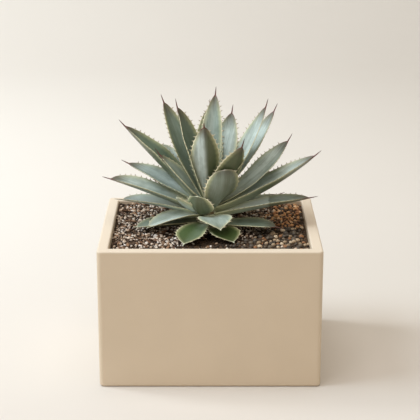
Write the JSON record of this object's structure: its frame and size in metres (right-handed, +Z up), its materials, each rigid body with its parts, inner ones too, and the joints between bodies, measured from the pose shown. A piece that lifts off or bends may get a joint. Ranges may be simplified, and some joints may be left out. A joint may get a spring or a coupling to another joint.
{
  "type": "potted agave plant",
  "caption": "Rosette of stiff silver-green leaves with toothed edges and dark end spines, growing in a cream rectangular pot of gritty potting mix.",
  "frame": {"origin": "centre of the pot's flat underside", "axes": "+Z up, -Y towards the front of the pot, +X to the right seen from the front"},
  "size_m": [0.245, 0.2153, 0.3002],
  "materials": {
    "pot": "matt, smooth, warm cream, faintly mottled",
    "potting_mix": "rough loose mix of dark bark, sand, brown and grey grit and white perlite",
    "stem": "matt, fibrous",
    "leaf": "waxy silver-blue bloom over green, fine lengthwise streaks, pale yellow margins, dark spines"
  },
  "bodies": {
    "root": {"pot": "pot", "soil": "potting_mix", "stem": "stem", "leaf_outer_01": "leaf", "leaf_outer_02": "leaf", "leaf_outer_03": "leaf", "leaf_outer_04": "leaf", "leaf_outer_05": "leaf", "leaf_outer_06": "leaf", "leaf_outer_07": "leaf", "leaf_outer_08": "leaf", "leaf_outer_09": "leaf", "leaf_outer_10": "leaf", "leaf_outer_11": "leaf", "leaf_outer_12": "leaf", "leaf_outer_13": "leaf", "leaf_outer_14": "leaf", "leaf_middle_01": "leaf", "leaf_middle_02": "leaf", "leaf_middle_03": "leaf", "leaf_middle_04": "leaf", "leaf_middle_05": "leaf", "leaf_middle_06": "leaf", "leaf_middle_07": "leaf", "leaf_middle_08": "leaf", "leaf_middle_09": "leaf", "leaf_middle_10": "leaf", "leaf_middle_11": "leaf", "leaf_inner_01": "leaf", "leaf_inner_02": "leaf", "leaf_inner_03": "leaf", "leaf_inner_04": "leaf", "leaf_inner_05": "leaf", "leaf_inner_06": "leaf", "leaf_inner_07": "leaf", "leaf_inner_08": "leaf", "leaf_heart_01": "leaf", "leaf_heart_02": "leaf", "leaf_heart_03": "leaf", "leaf_heart_04": "leaf", "leaf_heart_05": "leaf", "leaf_heart_06": "leaf"}
  },
  "joints": []
}
